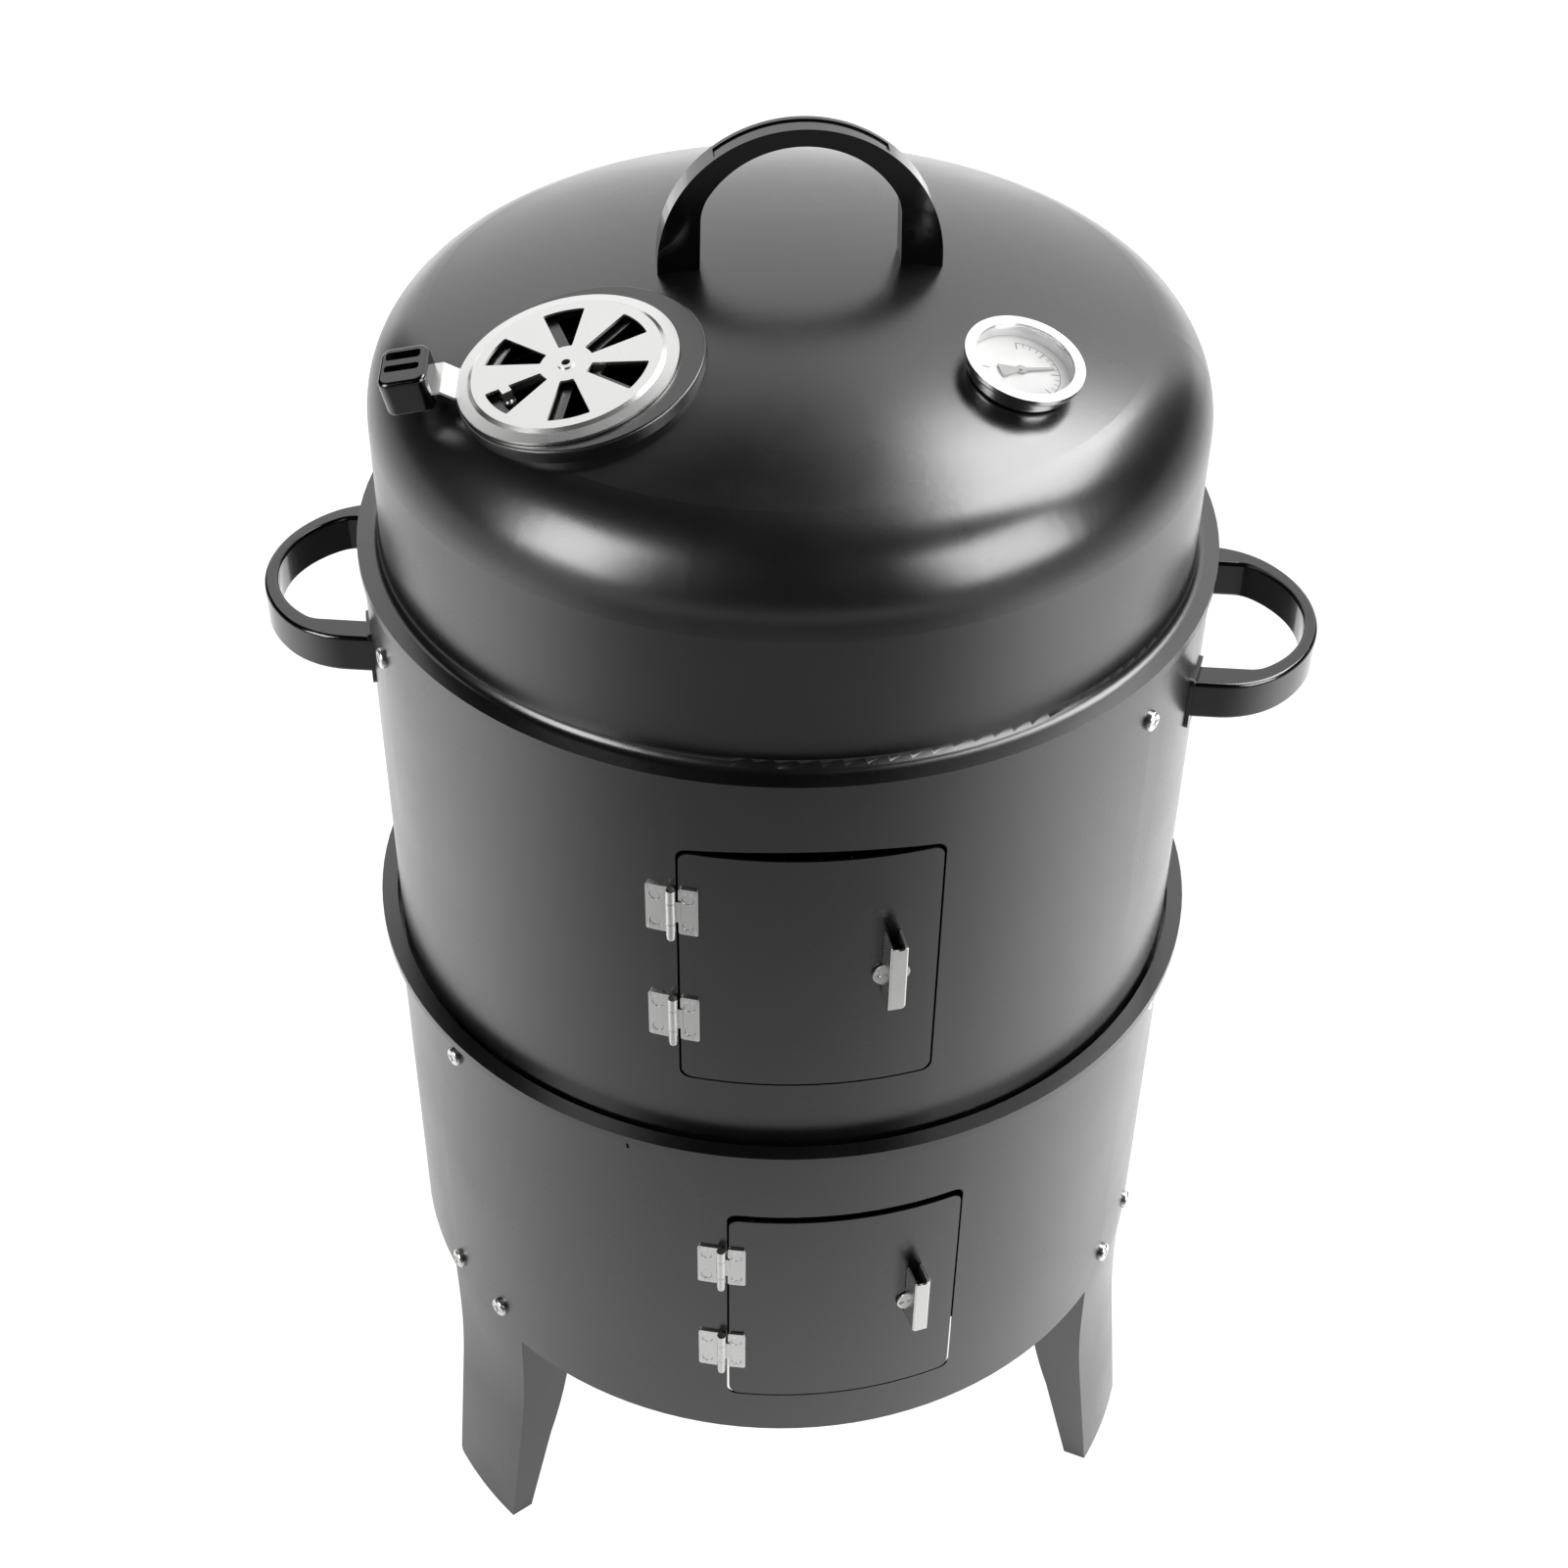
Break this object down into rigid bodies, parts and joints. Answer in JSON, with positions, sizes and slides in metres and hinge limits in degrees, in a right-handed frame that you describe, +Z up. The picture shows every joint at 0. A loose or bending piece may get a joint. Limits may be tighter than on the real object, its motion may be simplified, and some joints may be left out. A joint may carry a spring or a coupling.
{
  "type": "vertical water smoker",
  "caption": "Upright charcoal water smoker: two nested barrels on channel legs, with a domed lid, turning vent, dial thermometer, grip handles and hinged access doors with turn latches.",
  "frame": {"origin": "on the floor under the centre of the barrels", "axes": "+Z up, -Y towards the front with the access doors, +X through the right side handle"},
  "size_m": [0.509, 0.4229, 0.7996],
  "materials": {
    "black_enamel": "satin",
    "zinc_plate": "satin",
    "bezel_steel": "polished",
    "black_plastic": "gloss",
    "dial_face": "matt",
    "needle_paint": "matt",
    "window_glass": "clear",
    "chrome_wire": "polished"
  },
  "bodies": {
    "base": {"fire_barrel": "black_enamel", "leg_front_left": "black_enamel", "leg_right": "black_enamel", "leg_rear": "black_enamel", "leg_bolts": "zinc_plate", "leg_nuts": "zinc_plate", "fire_brackets": "black_enamel", "fire_bracket_screws": "zinc_plate", "fire_bracket_nuts": "zinc_plate", "fire_hinge_wall_leaves": "zinc_plate", "fire_hinge_pins": "zinc_plate", "fire_hinge_wall_rivets": "zinc_plate"},
    "fire_door_body": {"fire_door": "black_enamel", "fire_hinge_door_leaves": "zinc_plate", "fire_hinge_door_rivets": "zinc_plate"},
    "fire_latch": {"fire_latch_lever": "zinc_plate", "fire_latch_spindle": "zinc_plate", "fire_latch_tongue": "zinc_plate", "fire_latch_nut": "zinc_plate"},
    "water_bowl_body": {"water_bowl": "black_enamel"},
    "lower_grate_body": {"lower_grate": "chrome_wire"},
    "charcoal_bowl_body": {"charcoal_bowl": "black_enamel"},
    "charcoal_grate_body": {"charcoal_grate": "chrome_wire"},
    "cook_body": {"cook_barrel": "black_enamel", "cook_brackets": "black_enamel", "cook_bracket_screws": "zinc_plate", "cook_bracket_nuts": "zinc_plate", "cook_hinge_wall_leaves": "zinc_plate", "cook_hinge_pins": "zinc_plate", "cook_hinge_wall_rivets": "zinc_plate", "left_handle": "black_plastic", "left_handle_pads": "black_enamel", "right_handle": "black_plastic", "right_handle_pads": "black_enamel", "side_handle_screws": "zinc_plate"},
    "cook_door_body": {"cook_door": "black_enamel", "cook_hinge_door_leaves": "zinc_plate", "cook_hinge_door_rivets": "zinc_plate"},
    "cook_latch": {"cook_latch_lever": "zinc_plate", "cook_latch_spindle": "zinc_plate", "cook_latch_tongue": "zinc_plate", "cook_latch_nut": "zinc_plate"},
    "upper_grate_body": {"upper_grate": "chrome_wire"},
    "lid": {"lid_shell": "black_enamel", "lid_handle": "black_plastic", "lid_handle_washers": "zinc_plate", "lid_handle_screws": "zinc_plate", "thermometer_case": "bezel_steel", "thermometer_dial": "dial_face", "thermometer_glass": "window_glass", "thermometer_stem": "zinc_plate", "thermometer_nut": "zinc_plate", "vent_pivot_rivet": "zinc_plate", "vent_stop_bolt": "zinc_plate"},
    "damper": {"vent_damper": "zinc_plate", "vent_grip": "black_plastic"},
    "needle": {"thermometer_needle": "needle_paint"}
  },
  "joints": [
    {"name": "fire_door_hinge", "type": "hinge", "parent": "base", "child": "fire_door_body", "pos_m": [-0.01398, -0.20512, 0.2595], "axis": [0, 0, -1], "range_deg": [0, 120]},
    {"name": "fire_latch_turn", "type": "hinge", "parent": "fire_door_body", "child": "fire_latch", "pos_m": [0.08034, -0.18654, 0.257], "axis": [-0.3955, 0.9184, 0], "range_deg": [0, 90]},
    {"name": "cook_lift", "type": "slide", "parent": "base", "child": "cook_body", "axis": [0, 0, 1], "range_m": [0, 0.25]},
    {"name": "cook_door_hinge", "type": "hinge", "parent": "cook_body", "child": "cook_door_body", "pos_m": [-0.03551, -0.19936, 0.491], "axis": [0, 0, -1], "range_deg": [0, 120]},
    {"name": "cook_latch_turn", "type": "hinge", "parent": "cook_door_body", "child": "cook_latch", "pos_m": [0.06047, -0.19064, 0.488], "axis": [-0.3024, 0.9532, 0], "range_deg": [0, 90]},
    {"name": "water_bowl_lift", "type": "slide", "parent": "base", "child": "water_bowl_body", "axis": [0, 0, 1], "range_m": [0, 0.1]},
    {"name": "lower_grate_lift", "type": "slide", "parent": "water_bowl_body", "child": "lower_grate_body", "axis": [0, 0, 1], "range_m": [0, 0.05]},
    {"name": "charcoal_bowl_lift", "type": "slide", "parent": "base", "child": "charcoal_bowl_body", "axis": [0, 0, 1], "range_m": [0, 0.06]},
    {"name": "charcoal_grate_lift", "type": "slide", "parent": "charcoal_bowl_body", "child": "charcoal_grate_body", "axis": [0, 0, 1], "range_m": [0, 0.03]},
    {"name": "upper_grate_lift", "type": "slide", "parent": "cook_body", "child": "upper_grate_body", "axis": [0, 0, 1], "range_m": [0, 0.03]},
    {"name": "lid_lift", "type": "slide", "parent": "cook_body", "child": "lid", "axis": [0, 0, 1], "range_m": [0, 0.25]},
    {"name": "damper_turn", "type": "hinge", "parent": "lid", "child": "damper", "pos_m": [-0.08724, -0.08543, 0.72174], "axis": [-0.1861, -0.1465, 0.9715], "range_deg": [-16.5, 1.5]},
    {"name": "needle_turn", "type": "hinge", "parent": "lid", "child": "needle", "pos_m": [0.0996, -0.07131, 0.72163], "axis": [-0.2248, 0.161, -0.961], "range_deg": [-60, 180]}
  ]
}
